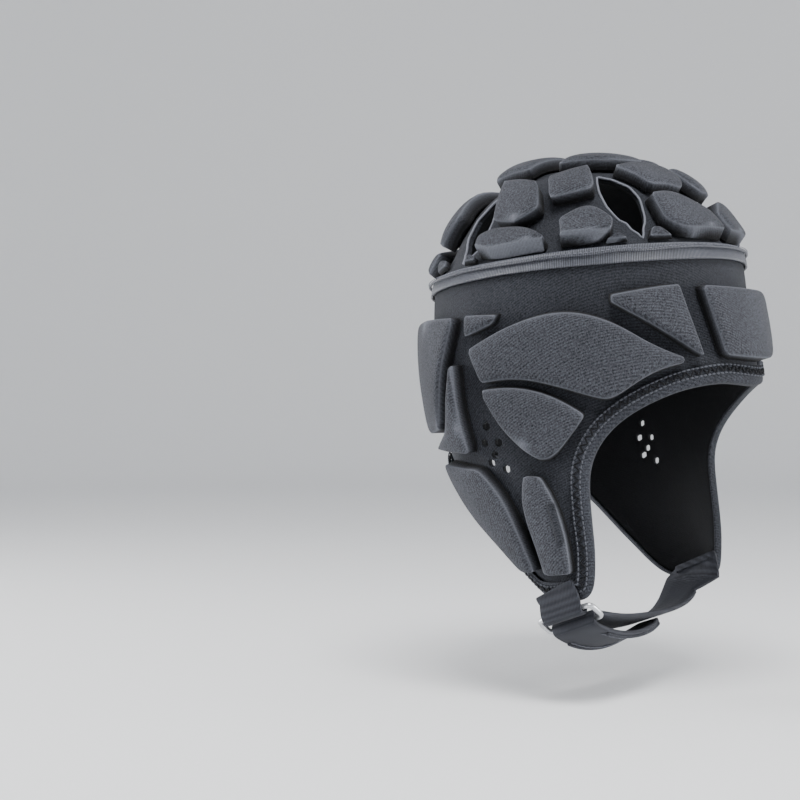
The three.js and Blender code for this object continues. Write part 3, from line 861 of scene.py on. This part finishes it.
@dataclass
class Trim:
    """The seam tape and the hem's binding, with their stitches."""

    tape_lift: float = 1.75 * MM
    tape_half: float = 3.3 * MM
    bead_half: float = 2.1 * MM
    bead: float = 0.75 * MM
    hem_lift: float = 2.25 * MM
    hem_rows: tuple[float, ...] = (2.9 * MM, 6.9 * MM)
    step: float = 2.0 * MM
    levels: int = 2
    tape_sharp: float = math.radians(60)
    tape_crease: float = 0.7
    hem_sharp: float = math.radians(70)
    hem_crease: float = 0.3
    tape_least: int = 30
    hem_least: int = 40
    tape_row: StitchRow = field(default_factory=lambda: StitchRow(
        Seam.RUNNING, pitch=2.6 * MM, length=1.9 * MM, radius=0.3 * MM))
    zigzag: StitchRow = field(default_factory=lambda: StitchRow(
        Seam.ZIGZAG, pitch=2.3 * MM, length=4.2 * MM, radius=0.55 * MM, swing=2.8 * MM))
    hem_row: StitchRow = field(default_factory=lambda: StitchRow(
        Seam.RUNNING, pitch=2.4 * MM, length=2.2 * MM, radius=0.5 * MM))

    def build(self, shells: Shells) -> None:
        """Dresses tape and binding.

        Args:
            shells: The shells that they are sewn to.
        """
        tape = node_copy("seam_tape")
        crease_sharp(tape, self.tape_sharp, self.tape_crease)
        finish_piece("seam_tape_cloth", tape, [TAPE_SATIN], self.levels, ("seam_tape",))
        hem = node_copy("hem_binding")
        crease_sharp(hem, self.hem_sharp, self.hem_crease)
        finish_piece("hem_binding_cloth", hem, [HEM_CLOTH], self.levels, ("hem_binding",))
        self.stitch_tape(shells)
        self.stitch_hem(shells)

    def stitch_tape(self, shells: Shells) -> None:
        """Sews a row along each edge of the tape and lays its two beads.

        Args:
            shells: The shells that the tape is sewn to.
        """
        rows = shells.edges("crown_shell", self.tape_least)
        rows.sort(key=lambda loop: max(point.x for point in loop))
        seam = Route.round_edge(rows[-1], rows[0], self.step)
        mesh = bmesh.new()
        for side in (-1, 1):
            self.tape_row.sew(mesh, seam.moved(side * self.tape_half, self.tape_lift))
        finish_piece("tape_stitches", mesh, [THREAD])
        mesh = bmesh.new()
        for side in (-1, 1):
            sweep(mesh, seam.moved(side * self.bead_half, self.tape_lift), self.bead)
        bmesh.ops.recalc_face_normals(mesh, faces=mesh.faces)
        finish_piece("tape_beads", mesh, [TAPE_SATIN])

    def stitch_hem(self, shells: Shells) -> None:
        """Sews a zigzag between two rows round the hem.

        Args:
            shells: The shells that the binding is sewn to.
        """
        rows = shells.edges("band_shell", self.hem_least)
        rows.sort(key=lambda loop: sum(point.z for point in loop) / len(loop))
        lower = sorted(rows[:2], key=lambda loop: max(point.x for point in loop))
        hem = Route.round_edge(lower[-1], lower[0], self.step).facing_up()
        mesh = bmesh.new()
        self.zigzag.sew(mesh, hem.moved(sum(self.hem_rows) / 2, self.hem_lift))
        finish_piece("hem_zigzag", mesh, [DARK_THREAD])
        mesh = bmesh.new()
        for row in self.hem_rows:
            self.hem_row.sew(mesh, hem.moved(row, self.hem_lift))
        finish_piece("hem_rows", mesh, [HEM_THREAD])


@dataclass
class Fastening:
    """The tab, the ring and the chin strap."""

    tail_steps: int = 6
    piping: float = 0.8 * MM
    piping_in: float = 1.2 * MM
    stitch_in: float = 3.4 * MM
    lift: float = 0.25 * MM
    levels: int = 2
    web_sharp: float = math.radians(60)
    web_crease: float = 0.8
    edge_turn: float = 0.9
    end_turn: float = 1.2
    tail_step: float = 1.5 * MM
    tail_row: StitchRow = field(default_factory=lambda: StitchRow(
        Seam.ZIGZAG, pitch=2.2 * MM, length=2.6 * MM, radius=0.35 * MM, swing=1.2 * MM))

    def build(self) -> None:
        """Dresses the fastening."""
        self.trim_tail()
        ring = node_copy("buckle_ring")
        finish_piece("buckle_wire", ring, [WireFinish()], self.levels, ("buckle_ring",))
        for node, name in (("strap_tab", "strap_tab_web"), ("chin_strap", "chin_strap_web")):
            mesh = node_copy(node)
            crease_sharp(mesh, self.web_sharp, self.web_crease)
            finish_piece(name, mesh, [WEBBING], self.levels, (node,))

    def tail_edge(self) -> Route:
        """Follows the outer face of the strap's free end: down one edge, round the end and back.

        Returns:
            The route.
        """
        mesh = node_copy("chin_strap")
        end = min((face for face in mesh.faces if len(face.verts) == 4), key=self.end_score)
        wide = sorted(end.edges, key=lambda edge: edge.calc_length())[2:]
        corners = min(wide, key=lambda edge: sum(vert.co.z for vert in edge.verts)).verts
        sides = []
        for corner in corners:
            chain = [corner]
            skip = set(end.verts)
            for _ in range(self.tail_steps):
                rims = [edge for edge in chain[-1].link_edges
                        if edge.calc_face_angle(0.0) > self.edge_turn]
                others = [edge.other_vert(chain[-1]) for edge in rims]
                onward = max((vert for vert in others if vert not in skip),
                             key=lambda vert: -vert.co.x, default=None)
                if onward is None:
                    break
                skip.add(onward)
                chain.append(onward)
            sides.append([vert.co.copy() for vert in chain])
        mesh.free()
        across = sides[0][-1] - sides[1][-1]
        normals = []
        for side in sides:
            ways = [side[max(i - 1, 0)] - side[min(i + 1, len(side) - 1)] for i in range(len(side))]
            faces = [across.cross(way).normalized() for way in ways]
            normals.append([-face if face.z > 0 else face for face in faces])
        points = sides[0][::-1] + sides[1]
        middle = sum(points, Vector()) / len(points)
        edge = Route(points, normals[0][::-1] + normals[1], False).even(self.tail_step)
        if edge.inward(0).dot(middle - edge.points[0]) > 0:
            return edge
        return Route(edge.points[::-1], edge.normals[::-1], False)

    def end_score(self, face: bmesh.types.BMFace) -> float:
        """Returns how far left a face lies if all its edges are sharp, as at a cut end, or infinity."""
        cut = all(edge.calc_face_angle(0.0) > self.end_turn for edge in face.edges)
        return face.calc_center_median().x if cut else math.inf

    def trim_tail(self) -> None:
        """Pipes the free end's rim and sews a row inside it."""
        edge = self.tail_edge()
        piping = bmesh.new()
        sweep(piping, edge.moved(self.piping_in, self.lift), self.piping)
        bmesh.ops.holes_fill(piping, edges=[one for one in piping.edges if one.is_boundary])
        bmesh.ops.recalc_face_normals(piping, faces=piping.faces)
        finish_piece("tail_piping", piping, [HEM_CLOTH], 1)
        stitches = bmesh.new()
        self.tail_row.sew(stitches, edge.moved(self.stitch_in, self.lift))
        finish_piece("tail_stitches", stitches, [THREAD])


@dataclass(frozen=True)
class Lamp:
    """A soft square light: where it stands from the cap's middle in metres, its side and its watts."""

    name: str
    way: tuple[float, float, float]
    size: float
    power: float


LAMPS = (
    Lamp("key", (-0.5, -0.35, 1.0), 0.55, 17.0),
    Lamp("rim", (-0.55, 1.05, 0.15), 0.5, 14.0),
    Lamp("front", (0.55, -1.1, 0.05), 0.5, 13.0),
)


@dataclass
class Studio:
    """A pale cove, soft lights and the camera."""

    target: Vector = field(default_factory=lambda: Vector((0.0, 0.0, -117.5 * MM)))
    distance: float = 900 * MM
    azimuth: float = math.radians(-61)
    frame_width: float = 800.0
    focal: float = 1723.0
    target_pixel: tuple[float, float] = (585.0, 405.0)
    floor: float = -262 * MM
    floor_radius: float = 2.2
    bend: float = 0.8
    bend_parts: int = 8
    wall_top: float = 4.0
    cove_steps: int = 64
    floor_tone: tuple[float, ...] = (0.9, 0.905, 0.91, 1.0)
    floor_roughness: float = 0.9
    sky_tone: tuple[float, ...] = (0.93, 0.95, 1.0, 1.0)
    sky_strength: float = 0.72

    def build(self) -> None:
        """Builds the cove, the lights and the camera."""
        self.cove()
        for lamp in LAMPS:
            self.light(lamp)
        world = bpy.data.worlds.new("studio")
        world.use_nodes = True
        sky = world.node_tree.nodes["Background"].inputs
        sky["Color"].default_value = self.sky_tone
        sky["Strength"].default_value = self.sky_strength
        bpy.context.scene.world = world
        self.camera()

    def cove(self) -> None:
        """Builds a round floor that curves up into a wall."""
        mesh = bmesh.new()
        profile = [Vector((0.0, 0.0, self.floor)), Vector((self.floor_radius, 0.0, self.floor))]
        for part in range(1, self.bend_parts + 1):
            turn = math.radians(90) * part / self.bend_parts
            out = self.floor_radius + self.bend * math.sin(turn)
            profile.append(Vector((out, 0.0, self.floor + self.bend * (1 - math.cos(turn)))))
        profile.append(Vector((self.floor_radius + self.bend, 0.0, self.wall_top)))
        points = [mesh.verts.new(point) for point in profile]
        edges = [mesh.edges.new(pair) for pair in zip(points, points[1:])]
        bmesh.ops.spin(mesh, geom=points + edges, cent=(0, 0, 0), axis=(0, 0, 1), angle=math.tau,
                       steps=self.cove_steps, use_merge=True)
        bmesh.ops.remove_doubles(mesh, verts=mesh.verts, dist=MERGE)
        bmesh.ops.recalc_face_normals(mesh, faces=mesh.faces)
        data = bpy.data.meshes.new("studio_floor")
        mesh.to_mesh(data)
        mesh.free()
        for polygon in data.polygons:
            polygon.use_smooth = True
        paint = bpy.data.materials.new("pale_floor")
        paint.use_nodes = True
        shader = paint.node_tree.nodes["Principled BSDF"]
        shader.inputs["Base Color"].default_value = self.floor_tone
        shader.inputs["Roughness"].default_value = self.floor_roughness
        data.materials.append(paint)
        floor = bpy.data.objects.new("studio_floor", data)
        bpy.context.scene.collection.objects.link(floor)

    def light(self, lamp: Lamp) -> None:
        """Adds a soft light that faces the cap.

        Args:
            lamp: The light's place and strength.
        """
        data = bpy.data.lights.new(lamp.name, "AREA")
        data.size = lamp.size
        data.energy = lamp.power
        holder = bpy.data.objects.new(lamp.name, data)
        holder.location = self.target + Vector(lamp.way)
        holder.rotation_euler = Vector(lamp.way).to_track_quat("Z", "Y").to_euler()
        holder.visible_camera = False
        bpy.context.scene.collection.objects.link(holder)

    def camera(self) -> None:
        """Sets the camera at the photo's angle, turned so that the cap stands right of the middle."""
        lens = bpy.data.cameras.new("camera")
        lens.lens = self.focal / self.frame_width * lens.sensor_width
        view = bpy.data.objects.new("camera", lens)
        back = Vector((math.sin(self.azimuth), -math.cos(self.azimuth), 0.0))
        pan = math.atan((self.target_pixel[0] - self.frame_width / 2) / self.focal)
        tilt = math.atan((self.target_pixel[1] - self.frame_width / 2) / self.focal)
        turn = Matrix.Rotation(self.azimuth + pan, 4, "Z") @ Matrix.Rotation(math.radians(90) + tilt, 4, "X")
        view.matrix_world = Matrix.Translation(self.target + back * self.distance) @ turn
        bpy.context.scene.collection.objects.link(view)
        bpy.context.scene.camera = view


def main() -> None:
    """Builds the cap's looks piece by piece."""
    logging.basicConfig(level=logging.INFO, format="%(name)s %(message)s")
    Studio().build()
    shells = Shells()
    shells.build()
    FoamPads().build()
    Trim().build(shells)
    Fastening().build()


if __name__ == "__main__":
    main()
